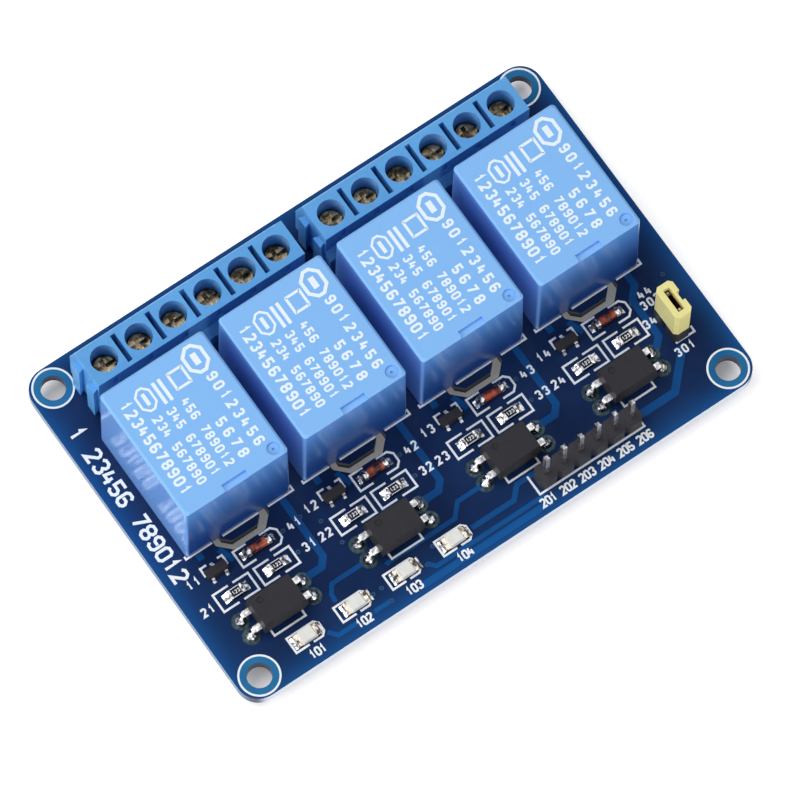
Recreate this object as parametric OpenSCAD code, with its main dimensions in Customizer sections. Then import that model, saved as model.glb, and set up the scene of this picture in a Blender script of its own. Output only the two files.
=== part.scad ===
// Four-channel relay board: screw terminals along the back edge, four sealed
// relays, a row of driver parts in front of each relay, and pin headers.
// Frame: origin on the board's underside at the centre of the four mounting
// holes, +X along the terminal row, +Y towards the terminals, +Z up.

/* [Circuit board] */
// Distance from the outer relays' share of the board to its short edges
side_margin = 3.3; // [2.8:0.1:6]
// Thickness of the board
board_t = 1.6; // [1:0.1:2.4]
// Radius of the board's corners
board_corner_r = 3; // [1:0.5:5]
// Diameter of the four mounting holes
mount_hole_d = 3.2; // [2.2:0.1:3.6]
// Distance from a mounting hole's centre to the board's short edge
mount_inset_x = 3.1; // [2.6:0.1:3.4]
// Distance from a mounting hole's centre to the board's long edge
mount_inset_y = 2.9; // [2.6:0.1:3.4]
// Width of the isolation slots milled round the relays' common pins
slot_w = 1.1; // [0.8:0.1:1.3]
// Distance of an isolation slot's arms from the relay's coil pins
slot_clear = 2.6; // [2.2:0.1:2.8]
// How far an isolation slot stands out in front of its relay
slot_out = 1.75; // [1.5:0.05:2]
// How far the soldered leads stand out under the board
lead_out = 1.9; // [1.5:0.1:2.6]
// Gap round a lead in its plated hole
lead_gap = 0.1; // [0.06:0.02:0.16]

/* [Relays] */
// Gap between two neighbouring relays
relay_space = 2; // [1.4:0.1:4]
// Width of a relay across its base
relay_w = 15.4; // [14.4:0.1:17]
// Length of a relay along its base
relay_len = 19.1; // [18:0.1:21]
// Height of a relay above the board
relay_h = 15.4; // [14.6:0.1:17]
// How much narrower the cover is at its top, for the mould
cover_draft = 0.3; // [0.1:0.1:0.6]
// Wall of the relay's cover
cover_wall = 0.8; // [0.6:0.1:1]
// Distance from the relays to the terminal blocks
relay_gap = 1.4; // [0.8:0.1:2.4]
// Thickness of the relay's base plate
base_t = 2.3; // [1.6:0.1:2.8]
// Height of the small feet that lift the base plate off the board
base_foot = 0.3; // [0.2:0.1:0.5]
// Distance from the relay's front to its common pin
common_inset = 2.5; // [2.4:0.1:2.8]
// Distance from the common pin to the row of coil pins
coil_row = 2; // [1.8:0.1:2.2]
// Distance from the relay's back to its contact pins
contact_inset = 2.4; // [2.2:0.1:2.7]
// Distance from the relay's sides to its outer pins
pin_inset = 1.7; // [1.5:0.05:2]

/* [Relay mechanism] */
// Distance between the coil's former and the contact leads behind it
coil_clear = 1.75; // [1.2:0.05:2.5]
// Diameter of the iron core
core_d = 4; // [3:0.1:4.4]
// Thickness of the iron yoke
yoke_t = 1; // [0.8:0.1:1.1]
// Width of the iron yoke
yoke_w = 9; // [7:0.25:9.5]
// Thickness of the armature plate
armature_t = 0.9; // [0.7:0.1:1.1]
// Air gap between the pole and the open armature
air_gap = 0.5; // [0.45:0.05:0.6]
// Thickness of the contact springs
spring_t = 0.25; // [0.2:0.05:0.3]
// Travel of the moving contact between the two fixed ones
contact_travel = 0.75; // [0.72:0.02:1]

/* [Screw terminals] */
// Distance between two neighbouring poles
pole_pitch = 5.08; // [4.8:0.02:5.3]
// Gap between the two terminal blocks
block_gap = 3.1; // [1.6:0.1:3.6]
// Depth of a block, from its front to its wire entries
block_depth = 7.6; // [7:0.1:8.4]
// Height of a block
block_h = 10.2; // [9.8:0.1:12]
// Distance from the wire entries to the board's back edge
block_setback = 2.4; // [1.8:0.1:3.2]
// Diameter of the screwdriver wells
well_d = 3.5; // [3.4:0.05:3.8]
// How deep a tightened screw's head lies in its well
screw_depth = 3; // [2.8:0.1:3.3]
// Height of a screw's head
head_h = 1.5; // [1.3:0.1:1.7]
// Diameter of a screw's shank
shank_d = 2.4; // [2:0.1:2.5]
// Running gap of the shank in the clamp and of the head in the well
screw_gap = 0.06; // [0.04:0.01:0.1]
// Thickness of the clamp cage's metal
cage_t = 0.5; // [0.4:0.05:0.6]
// Plastic left between two clamp cages
cage_rib = 1.08; // [0.9:0.02:1.2]
// Height of the clamp cages above the board
cage_lift = 1; // [0.8:0.1:1.2]
// Thickness of the plate that presses on the wire
clamp_t = 0.5; // [0.4:0.1:0.7]
// Clearance round the moving clamp plate
clamp_gap = 0.1; // [0.06:0.02:0.16]

/* [Driver parts] */
// Distance from the relays' front to the row of diodes
diode_row = 3.7; // [3.5:0.1:4.4]
// Distance from the diodes to the row of resistors
resistor_row = 3.3; // [3:0.1:4]
// Distance from the resistors to the middle of the optocouplers
opto_row = 4.55; // [4.4:0.05:5.6]
// Length of an optocoupler's body, between its two rows of leads
opto_len = 6.4; // [6:0.1:6.8]
// Width of an optocoupler's body
opto_w = 4.3; // [4:0.1:4.8]
// Height of an optocoupler's body
opto_h = 3.5; // [3:0.1:4]
// Distance from the optocouplers to the row of light-emitting diodes
led_row = 4.95; // [4.2:0.05:5.6]
// Distance from the light-emitting diodes to the board's front edge
led_inset = 3.8; // [3.4:0.1:5]
// Distance between two neighbouring light-emitting diodes
led_pitch = 7.3; // [6.6:0.1:8]

/* [Headers] */
// Distance between two neighbouring header pins
header_pitch = 2.54; // [2.5:0.01:2.58]
// Thickness of a header pin
header_pin_w = 0.64; // [0.5:0.02:0.7]
// Height of a header's plastic strip
strip_h = 2.5; // [2.2:0.1:2.8]
// Height of the input pins' tips above the board
pin_tip = 8; // [7.6:0.1:9.6]
// Distance from the input pins to the front edge
input_inset = 4; // [3.2:0.1:4.2]
// Distance from the third relay's middle to the input header's middle
input_shift = 5.9; // [5:0.1:6.6]
// Width of the jumper cap
cap_w = 2.5; // [2.3:0.02:2.7]
// Height of the jumper cap
cap_h = 5.9; // [5.4:0.1:6.4]
// Distance from the last relay's middle to the jumper
jumper_shift = 6.55; // [6:0.05:7.5]
// Distance from the relays' front to the middle of the jumper
jumper_row = 8.55; // [7.6:0.05:9.6]

/* [Hidden] */
$fn = 32;
relays = 4;
block_poles = 6;
poles = 2 * block_poles;
eps = 0.01;

function numbered(stem, count, tail) = [for (i = [1 : count]) str(stem, i, tail)];

// ---- places on the board ----
relay_pitch = relay_w + relay_space;
board_len = relays * relay_pitch + 2 * side_margin;
board_w = block_setback + block_depth + relay_gap + relay_len
    + diode_row + resistor_row + opto_row + led_row + led_inset;
front_edge = -board_w / 2;
back_edge = board_w / 2;
block_back = back_edge - block_setback;
block_front = block_back - block_depth;
relay_back = block_front - relay_gap;
relay_y = relay_back - relay_len / 2;
relay_front = relay_back - relay_len;
function relay_x(i) = (i - (relays + 1) / 2) * relay_pitch;
block_len = block_poles * pole_pitch;
function block_x(side) = side * (block_len + block_gap) / 2;
function pole_side(k) = k <= block_poles ? -1 : 1;
function pole_x(k) = block_x(pole_side(k))
    + ((k - 1) % block_poles - (block_poles - 1) / 2) * pole_pitch;
opto_shift = -2.35;
transistor_shift = -5.7;
diode_shift = 0.2;
left_resistor_shift = -5.25;
right_resistor_shift = 0.8;
led_count = 4;
led_start = relay_x(1) - 1.25;
function led_x(i) = led_start + (i - 1) * led_pitch;
diode_y = relay_front - diode_row;
resistor_y = diode_y - resistor_row;
opto_y = resistor_y - opto_row;
led_y = opto_y - led_row;
input_pins = 6;
input_x = relay_x(3) + input_shift;
input_y = front_edge + input_inset;
jumper_x = relay_x(4) + jumper_shift;
jumper_y = relay_front - jumper_row;

// ---- leads ----
terminal_lead = [1, 0.8];
contact_lead = [0.4, 1];
common_lead = [1, 0.4];
coil_lead = [0.6, 0.6];
header_lead = [header_pin_w, header_pin_w];
function hole_r(lead) = norm(lead) / 2 + lead_gap;

// ---- relay, seen from its own middle on the board ----
common_y = -relay_len / 2 + common_inset;
coil_y = common_y + coil_row;
contact_y = relay_len / 2 - contact_inset;
pin_side = relay_w / 2 - pin_inset;
cover_edge = 0.3;
cover_corner_r = 0.5;
base_fit = 0.12;
inner_w = relay_w - 2 * cover_wall;
inner_len = relay_len - 2 * cover_wall;
ceiling = relay_h - cover_wall;
base_top = base_foot + base_t;

// ---- relay mechanism, worked out from the ceiling down ----
rivet_h = 0.3;
contact_slack = 0.05;
fixed_spring_z = ceiling - 0.2 - spring_t;
moving_top = fixed_spring_z - rivet_h - contact_slack;
spring_z = moving_top - rivet_h - spring_t;
armature_z = spring_z - armature_t;
moving_bottom = armature_z + armature_t - rivet_h;
normally_open_top = moving_bottom - contact_travel;
pole_t = 0.8;
pole_top = armature_z - air_gap;
hinge_gap = 0.06;
yoke_top = armature_z - hinge_gap;
yoke_front = common_y + common_lead[1] / 2 + 0.25;
hinge_y = yoke_front + yoke_t / 2;
flange_t = 0.8;
flange_start = yoke_front + yoke_t + 0.3;
flange_end = contact_y - contact_lead[1] / 2 - coil_clear;
flange_len = flange_end - flange_start;
flange_w = 2 * (pin_side - coil_lead[0] / 2 - 0.6);
coil_d = min(flange_w, flange_len) - 0.4;
coil_fit = 0.05;
bobbin_y = (flange_start + flange_end) / 2;
bobbin_bottom = base_top + yoke_t;
bobbin_top = pole_top - pole_t;
pole_r = min(core_d / 2 + 1.4, coil_d / 2);
bobbin_tube_r = core_d / 2 + 0.6;
spring_w = 3.2;
loop_r = 1;
loop_end = spring_z - 3;
strip_y = -inner_len / 2 + 0.45;
contact_r = 0.7;
armature_end = bobbin_y + pole_r + 0.3;

// ---- terminal, heights above the board ----
head_top = block_h - screw_depth;
cage_top = head_top - head_h - clamp_gap;
cage_h = cage_top - cage_lift;
nut_t = cage_t + 0.2;
pocket_w = pole_pitch - cage_rib;
cage_fit = 0.05;
cage_w = pocket_w - 2 * cage_fit;
cage_len = block_depth - 2.8;
cage_floor = cage_lift + cage_t;
cage_ceiling = cage_top - nut_t;
clamp_rest = cage_floor + 0.3;
well_step = 1;
well_slope = 1.4;
well_y = (block_front + well_step + block_back - well_slope) / 2;
mouth_w = min(3.3, cage_w - 0.5);

// ================= shared shapes =================

// Flat plate with rounded corners, made of true arcs
module round_plate(length, width, r, thickness) {
    linear_extrude(thickness) {
        square([length - 2 * r, width], center = true);
        square([length, width - 2 * r], center = true);
        for (sx = [-1, 1], sy = [-1, 1])
            translate([sx * (length / 2 - r), sy * (width / 2 - r)]) circle(r);
    }
}

// Straight stroke of a cutter between two points, round at both ends
module stroke(from, to, width) {
    span = to - from;
    translate(from) {
        circle(d = width);
        rotate(atan2(span[1], span[0])) translate([0, -width / 2]) square([norm(span), width]);
    }
    translate(to) circle(d = width);
}

// Block standing on z0, centred on the given point
module post(size, at, z0, z1) {
    translate([at[0] - size[0] / 2, at[1] - size[1] / 2, z0]) cube([size[0], size[1], z1 - z0]);
}

// Square pin with its tips bevelled on all four sides
module bevelled_pin(w, at, z0, z1) {
    bevel = w * 0.45;
    profile = [[-w / 2, z0 + bevel], [-w * 0.2, z0], [w * 0.2, z0], [w / 2, z0 + bevel],
               [w / 2, z1 - bevel], [w * 0.2, z1], [-w * 0.2, z1], [-w / 2, z1 - bevel]];
    translate([at[0], at[1], 0]) intersection() {
        translate([0, w, 0]) rotate([90, 0, 0]) linear_extrude(2 * w) polygon(profile);
        rotate([0, 0, 90]) translate([0, w, 0]) rotate([90, 0, 0]) linear_extrude(2 * w) polygon(profile);
    }
}

// Everything that stands on the board's upper face
module on_board() {
    translate([0, 0, board_t]) children();
}

module at_relay(i) {
    translate([relay_x(i), relay_y, board_t]) children();
}

module at_pole(k) {
    translate([pole_x(k), well_y, board_t]) children();
}

// ================= circuit board =================

// Points of the isolation slot, from one side of the common pin to the other
function slot_path() = let (side = pin_side - slot_clear, low = relay_front - slot_out,
        corner = 1.3, end = relay_y + coil_y)
    [[-side, end], [-side, low + corner], [corner - side, low], [side - corner, low],
     [side, low + corner], [side, end]];

module isolation_slot() {
    path = slot_path();
    for (i = [0 : len(path) - 2]) stroke(path[i], path[i + 1], slot_w);
}

// Every lead that passes through the board: [x, y, lead size]
function through_leads() = concat(
    [for (k = [1 : poles]) [pole_x(k), well_y, terminal_lead]],
    [for (i = [1 : relays]) [relay_x(i), relay_y + common_y, common_lead]],
    [for (i = [1 : relays], s = [-1, 1]) [relay_x(i) + s * pin_side, relay_y + coil_y, coil_lead]],
    [for (i = [1 : relays], s = [-1, 1])
        [relay_x(i) + s * pin_side, relay_y + contact_y, contact_lead]],
    [for (i = [1 : input_pins]) [input_pin_x(i), input_y, header_lead]],
    [for (s = [-1, 1]) [jumper_x, jumper_y + s * header_pitch / 2, header_lead]]
);

module circuit_board() {
    color("midnightblue") difference() {
        round_plate(board_len, board_w, board_corner_r, board_t);
        for (sx = [-1, 1], sy = [-1, 1])
            translate([sx * (board_len / 2 - mount_inset_x), sy * (board_w / 2 - mount_inset_y), -1])
                cylinder(d = mount_hole_d, h = board_t + 2, $fn = 48);
        for (lead = through_leads())
            translate([lead[0], lead[1], -1]) cylinder(r = hole_r(lead[2]), h = board_t + 2);
        for (i = [1 : relays])
            translate([relay_x(i), 0, -1]) linear_extrude(board_t + 2) isolation_slot();
    }
}

// ================= relays =================

// Rounded slab of the cover at one height
module cover_slab(width, length, z) {
    translate([0, 0, z])
        round_plate(width, length, cover_corner_r, eps, $fn = 24);
}

// Blown-up form of the tapered cover, drawn in by a wall thickness
module cover_form(inset, top) {
    w = relay_w - 2 * inset;
    l = relay_len - 2 * inset;
    edge = inset == 0 ? cover_edge : 0;
    hull() {
        cover_slab(w, l, inset == 0 ? 0 : -1);
        cover_slab(w - cover_draft, l - cover_draft, top - edge - eps);
        cover_slab(w - cover_draft - 2 * edge, l - cover_draft - 2 * edge, top - eps);
    }
}

// Cover with its gate notch at the front edge and the closed vent dimple beside it
module relay_cover(i) {
    vent_inset = [1.6, 1.35];
    vent_d = 1.7;
    vent_depth = 0.3;
    notch = [3.5, 1.05, 0.45];
    color("royalblue", 0.6) at_relay(i) difference() {
        cover_form(0, relay_h);
        cover_form(cover_wall, ceiling);
        translate([relay_w / 2 - vent_inset[0], vent_inset[1] - relay_len / 2, 0]) {
            translate([0, 0, relay_h - vent_depth]) cylinder(d = vent_d, h = 1);
            translate([0, 0, relay_h - vent_depth - 0.2]) cylinder(d = 0.4, h = 1, $fn = 16);
        }
        translate([-notch[0] / 2, -relay_len / 2 - 1, relay_h - notch[2]])
            cube([notch[0], notch[1] + 1, 1]);
    }
}

// All five leads of one relay, as cutters for its base plate
module relay_lead_cutters() {
    post(common_lead, [0, common_y], -1, base_top + 1);
    for (s = [-1, 1]) {
        post(coil_lead, [s * pin_side, coil_y], -1, base_top + 1);
        post(contact_lead, [s * pin_side, contact_y], -1, base_top + 1);
    }
}

module relay_bases() {
    base_w = inner_w - 2 * base_fit;
    base_len = inner_len - 2 * base_fit;
    color("navy") for (i = [1 : relays]) at_relay(i) difference() {
        union() {
            translate([0, 0, base_foot]) round_plate(base_w, base_len, 0.6, base_t, $fn = 24);
            for (sx = [-1, 1], foot_y = [0.8 - base_len / 2, contact_y - 2.2])
                translate([sx * (base_w / 2 - 1.2), foot_y, 0])
                    cylinder(r = 0.5, h = base_foot + 0.5);
        }
        relay_lead_cutters();
    }
}

module relay_yokes() {
    leg_end = bobbin_y + core_d / 2 + 1.2;
    color("silver") for (i = [1 : relays]) at_relay(i) difference() {
        union() {
            translate([-yoke_w / 2, yoke_front, base_top])
                cube([yoke_w, leg_end - yoke_front, yoke_t]);
            translate([-yoke_w / 2, yoke_front, base_top])
                cube([yoke_w, yoke_t, yoke_top - base_top]);
        }
        translate([0, bobbin_y, base_top - 1]) cylinder(d = core_d * 0.7 + 2 * coil_fit, h = yoke_t + 2);
    }
}

// Soft-iron core: riveting neck, shaft, and the pole face under the armature
module relay_cores() {
    color("gainsboro") for (i = [1 : relays]) at_relay(i) translate([0, bobbin_y, 0])
        rotate_extrude() polygon([
            [0, base_top], [core_d * 0.35, base_top], [core_d * 0.35, bobbin_bottom],
            [core_d / 2, bobbin_bottom], [core_d / 2, bobbin_top], [pole_r, bobbin_top],
            [pole_r, pole_top], [0, pole_top]]);
}

module relay_bobbins() {
    color("whitesmoke") for (i = [1 : relays]) at_relay(i) translate([0, bobbin_y, 0]) difference() {
        union() {
            for (z = [bobbin_bottom, bobbin_top - flange_t])
                translate([0, 0, z]) round_plate(flange_w, flange_len, 1.5, flange_t, $fn = 24);
            translate([0, 0, bobbin_bottom]) cylinder(r = bobbin_tube_r, h = bobbin_top - bobbin_bottom);
        }
        translate([0, 0, bobbin_bottom - 1])
            cylinder(r = core_d / 2 + coil_fit, h = bobbin_top - bobbin_bottom + 2);
    }
}

module relay_windings() {
    z0 = bobbin_bottom + flange_t;
    z1 = bobbin_top - flange_t;
    color("peru") for (i = [1 : relays]) at_relay(i) translate([0, bobbin_y, z0]) difference() {
        cylinder(d = coil_d, h = z1 - z0, $fn = 48);
        translate([0, 0, -1]) cylinder(r = bobbin_tube_r + coil_fit, h = z1 - z0 + 2);
    }
}

module relay_coil_pins() {
    color("silver") for (i = [1 : relays], s = [-1, 1]) at_relay(i)
        post(coil_lead, [s * pin_side, coil_y], -board_t - lead_out, base_top + 1.6);
}

// Common terminal with the foot and strip that meet the armature's spring, and
// the two fixed contacts
module relay_contacts() {
    foot_end = common_y + common_lead[1] / 2;
    color("goldenrod") for (i = [1 : relays]) at_relay(i) {
        post(common_lead, [0, common_y], -board_t - lead_out, base_top);
        translate([-spring_w / 2, strip_y, base_top]) {
            cube([spring_w, foot_end - strip_y, spring_t]);
            cube([spring_w, spring_t, loop_end - 0.3 - base_top]);
        }
        fixed_contact(1, fixed_spring_z, -1);
        fixed_contact(-1, normally_open_top - rivet_h - spring_t, 1);
    }
}

// Fixed contact: a lead that rises beside the coil and an arm over to the middle;
// its rivet points up (1) or down (-1)
module fixed_contact(s, arm_z, rivet_dir) {
    lead_x = s * pin_side;
    arm_end = -s * (contact_r + 0.2);
    post(contact_lead, [lead_x, contact_y], -board_t - lead_out, arm_z + spring_t);
    post([abs(lead_x - arm_end), contact_lead[1]], [(lead_x + arm_end) / 2, contact_y],
         arm_z, arm_z + spring_t);
    translate([0, contact_y, rivet_dir > 0 ? arm_z + spring_t : arm_z - rivet_h])
        cylinder(r = contact_r, h = rivet_h);
}

// Hinged armature with its riveted spring, which loops down in front of the
// yoke and carries the moving contact at its other end
module relay_armature(i) {
    loop_y = strip_y + loop_r;
    loop_z = spring_z + spring_t - loop_r;
    color("lightsteelblue") at_relay(i) {
        translate([-yoke_w / 2, yoke_front - 0.2, armature_z])
            cube([yoke_w, armature_end - yoke_front + 0.2, armature_t]);
        translate([-spring_w / 2, loop_y, spring_z])
            cube([spring_w, contact_y + contact_r + 0.2 - loop_y, spring_t]);
        translate([-spring_w / 2, loop_y, loop_z]) rotate([90, 0, 90]) rotate([0, 0, 90])
            rotate_extrude(angle = 90) translate([loop_r - spring_t, 0])
                square([spring_t, spring_w]);
        translate([-spring_w / 2, strip_y, loop_end])
            cube([spring_w, spring_t, loop_z - loop_end]);
        translate([0, contact_y, moving_bottom])
            cylinder(r = contact_r, h = moving_top - moving_bottom);
        for (share = [0.25, 0.6])
            translate([0, hinge_y + share * (armature_end - hinge_y), spring_z + spring_t - eps])
                cylinder(r = 0.6, h = 0.2);
    }
}

// ================= screw terminals =================

// How far the front ledge and the brow above the wire entries lie below the top
ledge_drop = 5.6;
brow_drop = 4.3;

// Moulded outline of a block seen from its end: [distance from the front, height]
function block_outline() = let (d = block_depth, h = block_h, ledge = h - ledge_drop,
        brow = h - brow_drop)
    [[0, 0], [0, ledge], [well_step, ledge + 1.6], [well_step, h], [d - well_slope, h],
     [d - well_slope / 2, (h + brow) / 2], [d - 0.1, brow + 0.2], [d, brow], [d, 0]];

// Two dovetail ribs; the same shape grown by a clearance is the groove for them
module dovetails(grow) {
    rib_out = 0.7 + grow;
    rib_side = 1.6;
    for (y = [well_y - rib_side, well_y + rib_side])
        translate([0, y, 0]) linear_extrude(block_h - 2.2 + grow)
            polygon([[0.1, -0.5 - grow], [0.1, 0.5 + grow], [-rib_out, 0.8 + grow],
                     [-rib_out, -0.8 - grow]]);
}

// Wire entry: a straight mouth with a bevelled rim
module wire_entry() {
    rim = 0.35;
    wall = block_back - well_y - cage_len / 2;
    height = cage_ceiling - cage_floor;
    translate([-mouth_w / 2, cage_len / 2 - 0.3, cage_floor]) cube([mouth_w, wall + 1, height]);
    translate([-mouth_w / 2, block_back - well_y, cage_floor]) rotate([90, 0, 90])
        linear_extrude(mouth_w)
            polygon([[-rim, 0], [eps, -rim], [eps, height + rim], [-rim, height]]);
    translate([0, block_back - well_y, cage_floor]) linear_extrude(height)
        polygon([[-mouth_w / 2, -rim], [mouth_w / 2, -rim], [mouth_w / 2 + rim, eps],
                 [-mouth_w / 2 - rim, eps]]);
}

// Small arched recess in the front face above each well
module mould_recess() {
    arch = [0.9, 0.35, 2.2];
    drop = 0.7;
    translate([0, arch[1], -drop - arch[0] / 2]) rotate([90, 0, 0]) linear_extrude(arch[1] + 1) {
        circle(d = arch[0]);
        translate([-arch[0] / 2, arch[0] / 2 - arch[2]]) square([arch[0], arch[2] - arch[0] / 2]);
    }
}

// Pocket, driver well, wire entry and mould recess of one pole
module pole_cut() {
    translate([-pocket_w / 2, -cage_len / 2, -1]) cube([pocket_w, cage_len, cage_top + 1]);
    translate([0, 0, cage_top - 1]) cylinder(d = well_d, h = block_h, $fn = 48);
    wire_entry();
    translate([0, block_front + well_step - well_y, block_h]) mould_recess();
}

// Deep narrow slot between two neighbouring wells
module parting_slot() {
    slot = [0.7, well_d + 0.6, 4];
    translate([-slot[0] / 2, well_y - slot[1] / 2, block_h - slot[2]])
        cube([slot[0], slot[1], slot[2] + 1]);
}

module terminal_housing(side) {
    first = side < 0 ? 1 : block_poles + 1;
    left = block_x(side) - block_len / 2;
    color("dodgerblue") {
        difference() {
            on_board() difference() {
                union() {
                    translate([left, block_front, 0]) rotate([90, 0, 90])
                        linear_extrude(block_len) polygon(block_outline());
                    translate([left, 0, 0]) dovetails(0);
                }
                translate([left + block_len, 0, -1]) dovetails(0.1);
                for (n = [1 : block_poles - 1]) translate([left + n * pole_pitch, 0, 0]) parting_slot();
            }
            for (k = [first : first + block_poles - 1]) at_pole(k) pole_cut();
        }
    }
}

// Square clamp cage with a tapped roof, standing on its own solder pin
module terminal_cages() {
    color("silver") for (k = [1 : poles]) at_pole(k) {
        difference() {
            post([cage_w, cage_len], [0, 0], cage_lift, cage_top);
            post([cage_w - 2 * cage_t, cage_len + 2], [0, 0], cage_floor, cage_ceiling);
            translate([0, 0, cage_ceiling - 1]) cylinder(d = shank_d + 2 * screw_gap, h = nut_t + 2);
        }
        post(terminal_lead, [0, 0], -board_t - lead_out, cage_lift);
    }
}

// Clamp screw with a combined cross and straight recess
module terminal_screw(k) {
    head_d = well_d - 2 * screw_gap - 0.08;
    tip = clamp_rest + clamp_t + clamp_gap / 2;
    color("lightgray") at_pole(k) difference() {
        rotate_extrude($fn = 48) polygon([
            [0, tip], [shank_d / 2 - 0.3, tip], [shank_d / 2, tip + 0.3],
            [shank_d / 2, head_top - head_h], [head_d / 2, head_top - head_h],
            [head_d / 2, head_top - 0.25], [head_d / 2 - 0.25, head_top], [0, head_top]]);
        translate([-head_d, -0.3, head_top - 0.8]) cube([2 * head_d, 0.6, 1]);
        translate([-0.3, -head_d * 0.32, head_top - 0.8]) cube([0.6, head_d * 0.64, 1]);
    }
}

// Plate under the screw that is pressed onto the wire
module terminal_clamp(k) {
    plate_w = cage_w - 2 * cage_t - 2 * clamp_gap;
    color("gold") at_pole(k)
        post([plate_w, cage_len - 0.8], [0, 0], clamp_rest, clamp_rest + clamp_t);
}

// ================= driver parts =================

module at_opto(i) {
    translate([relay_x(i) + opto_shift, opto_y, board_t]) children();
}

opto_clear = 0.3;
opto_lead_t = 0.25;
opto_lead_w = 0.85;
opto_lead_z = opto_clear + opto_h * 0.45;
opto_foot_x = opto_len / 2 + 1.35;
opto_lead_pitch = opto_w - 1.96;

// Moulded body with drafted flanks above and below its parting line
module optocoupler_bodies() {
    top = opto_clear + opto_h;
    mid = opto_lead_z;
    draft = 0.2;
    color("dimgray") for (i = [1 : relays]) at_opto(i) difference() {
        intersection() {
            translate([-opto_len / 2, 0, 0]) rotate([90, 0, 90]) linear_extrude(opto_len)
                polygon([[-opto_w / 2 + draft, opto_clear], [opto_w / 2 - draft, opto_clear],
                         [opto_w / 2, mid], [opto_w / 2 - draft, top], [-opto_w / 2 + draft, top],
                         [-opto_w / 2, mid]]);
            translate([0, opto_w / 2, 0]) rotate([90, 0, 0]) linear_extrude(opto_w)
                polygon([[-opto_len / 2 + draft, opto_clear], [opto_len / 2 - draft, opto_clear],
                         [opto_len / 2, mid], [opto_len / 2 - draft, top],
                         [-opto_len / 2 + draft, top], [-opto_len / 2, mid]]);
        }
        translate([-opto_len / 2 + 1.55, opto_w / 2 - 1.1, top - 0.15]) cylinder(d = 0.9, h = 1);
        for (s = [-1, 1], t = [-1, 1]) opto_lead(s, t);
    }
}

// Gull-wing lead: wide shoulder, narrow leg and a foot on the board
module opto_lead(s, t) {
    x0 = opto_len / 2 - 0.4;
    x1 = opto_len / 2 + 0.95;
    z = opto_lead_z;
    lt = opto_lead_t;
    mirror([s < 0 ? 1 : 0, 0, 0]) translate([0, t * opto_lead_pitch / 2, 0]) {
        translate([x0, -opto_lead_w / 2, z - lt / 2]) cube([x1 - x0, opto_lead_w, lt]);
        translate([0, 0.3, 0]) rotate([90, 0, 0]) linear_extrude(0.6)
            polygon([[x1 - 0.3, z + lt / 2], [x1, z + lt / 2], [x1 + lt, z - lt / 2],
                     [x1 + lt, lt], [opto_foot_x + 0.5, lt], [opto_foot_x + 0.5, 0], [x1, 0],
                     [x1, z - lt / 2], [x1 - 0.3, z - lt / 2]]);
    }
}

module optocoupler_leads() {
    color("lightgray") for (i = [1 : relays], s = [-1, 1], t = [-1, 1]) at_opto(i) opto_lead(s, t);
}

module at_transistor(i) {
    translate([relay_x(i) + transistor_shift, diode_y + 0.3, board_t]) children();
}

sot_body = [2.9, 1.3, 1];
sot_clear = 0.1;
sot_lead = [0.42, 0.15];

// Leads of the small transistor: [offset along the body, which side]
function sot_leads() = [[-0.95, -1], [0.95, -1], [0, 1]];

module transistor_lead(offset, side) {
    y0 = sot_body[1] / 2;
    lt = sot_lead[1];
    mid = sot_clear + sot_body[2] * 0.45;
    translate([offset - sot_lead[0] / 2, 0, 0]) mirror([0, side < 0 ? 1 : 0, 0])
        rotate([90, 0, 90]) linear_extrude(sot_lead[0])
            polygon([[y0 - 0.2, mid + lt / 2], [y0 + 0.2, mid + lt / 2], [y0 + 0.35, lt],
                     [y0 + 0.6, lt], [y0 + 0.6, 0], [y0 + 0.2, 0], [y0 + 0.1, mid - lt / 2],
                     [y0 - 0.2, mid - lt / 2]]);
}

module transistor_bodies() {
    draft = 0.1;
    color("black") for (i = [1 : relays]) at_transistor(i) difference() {
        translate([-sot_body[0] / 2, 0, sot_clear]) rotate([90, 0, 90]) linear_extrude(sot_body[0])
            polygon([[-sot_body[1] / 2, 0], [sot_body[1] / 2, 0], [sot_body[1] / 2, 0.5],
                     [sot_body[1] / 2 - draft, sot_body[2]], [-sot_body[1] / 2 + draft, sot_body[2]],
                     [-sot_body[1] / 2, 0.5]]);
        for (lead = sot_leads()) transistor_lead(lead[0], lead[1]);
    }
}

module transistor_leads() {
    color("lightgray") for (i = [1 : relays], lead = sot_leads())
        at_transistor(i) transistor_lead(lead[0], lead[1]);
}

module at_diode(i) {
    translate([relay_x(i) + diode_shift, diode_y, board_t + diode_cap_d / 2]) children();
}

diode_len = 3.5;
diode_cap_d = 1.35;
diode_cap_len = 0.6;

module diode_bodies() {
    glass = diode_len - 2 * diode_cap_len;
    color("orangered", 0.7) for (i = [1 : relays]) at_diode(i)
        rotate([0, 90, 0]) cylinder(d = diode_cap_d - 0.15, h = glass, center = true);
}

module diode_end_caps() {
    color("silver") for (i = [1 : relays], s = [-1, 1]) at_diode(i)
        translate([s * (diode_len - diode_cap_len) / 2, 0, 0]) rotate([0, 90, 0])
            cylinder(d = diode_cap_d, h = diode_cap_len, center = true);
}

// Chip resistors stand in two columns per channel
module at_resistors(i) {
    for (shift = [left_resistor_shift, right_resistor_shift])
        translate([relay_x(i) + shift, resistor_y, board_t]) children();
}

chip = [2, 1.25, 0.5];
chip_cap = 0.35;

module resistor_bodies() {
    color("black") for (i = [1 : relays]) at_resistors(i)
        post([chip[0] - 2 * chip_cap, chip[1]], [0, 0], 0.03, chip[2]);
}

module resistor_end_caps() {
    color("silver") for (i = [1 : relays], s = [-1, 1]) at_resistors(i)
        post([chip_cap, chip[1]], [s * (chip[0] - chip_cap) / 2, 0], 0, chip[2] + 0.03);
}

module at_led(i) {
    translate([led_x(i), led_y, board_t]) children();
}

led = [3.2, 1.6, 0.45];
led_cap = 0.5;

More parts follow.
